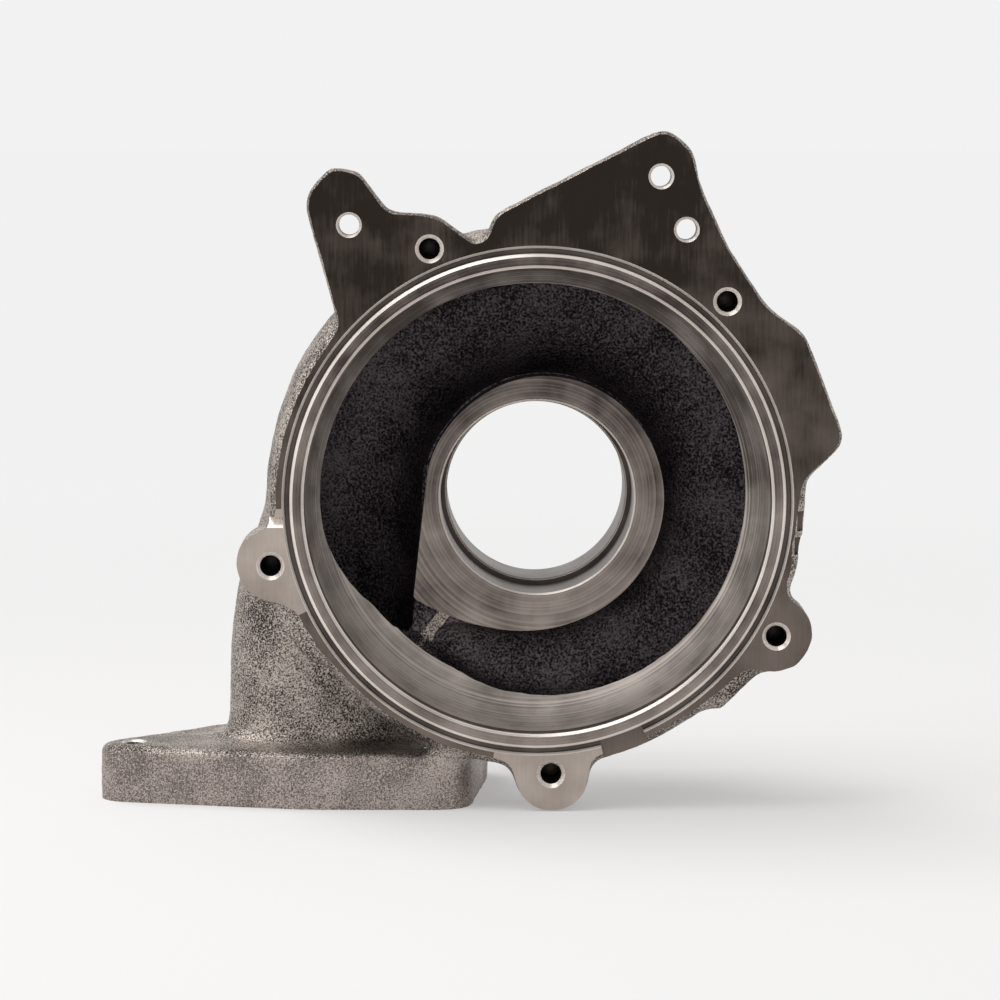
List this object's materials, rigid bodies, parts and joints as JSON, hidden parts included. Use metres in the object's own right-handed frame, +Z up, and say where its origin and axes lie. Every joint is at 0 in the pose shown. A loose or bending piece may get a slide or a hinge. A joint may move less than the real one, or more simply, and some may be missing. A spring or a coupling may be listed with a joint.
{
  "type": "turbocharger turbine housing",
  "caption": "Cast iron turbine housing with a scroll passage, a turned front ring, a wheel bore and a flat inlet flange that it stands on.",
  "frame": {"origin": "centre of the front ring face, on the bore axis", "axes": "+Y along the bore axis away from the front ring, +Z up, +X to the right seen from the front"},
  "size_m": [0.241, 0.0878, 0.219],
  "materials": {
    "cast_iron": "sand cast"
  },
  "bodies": {
    "root": {"turbine_housing": "cast_iron"}
  },
  "joints": []
}
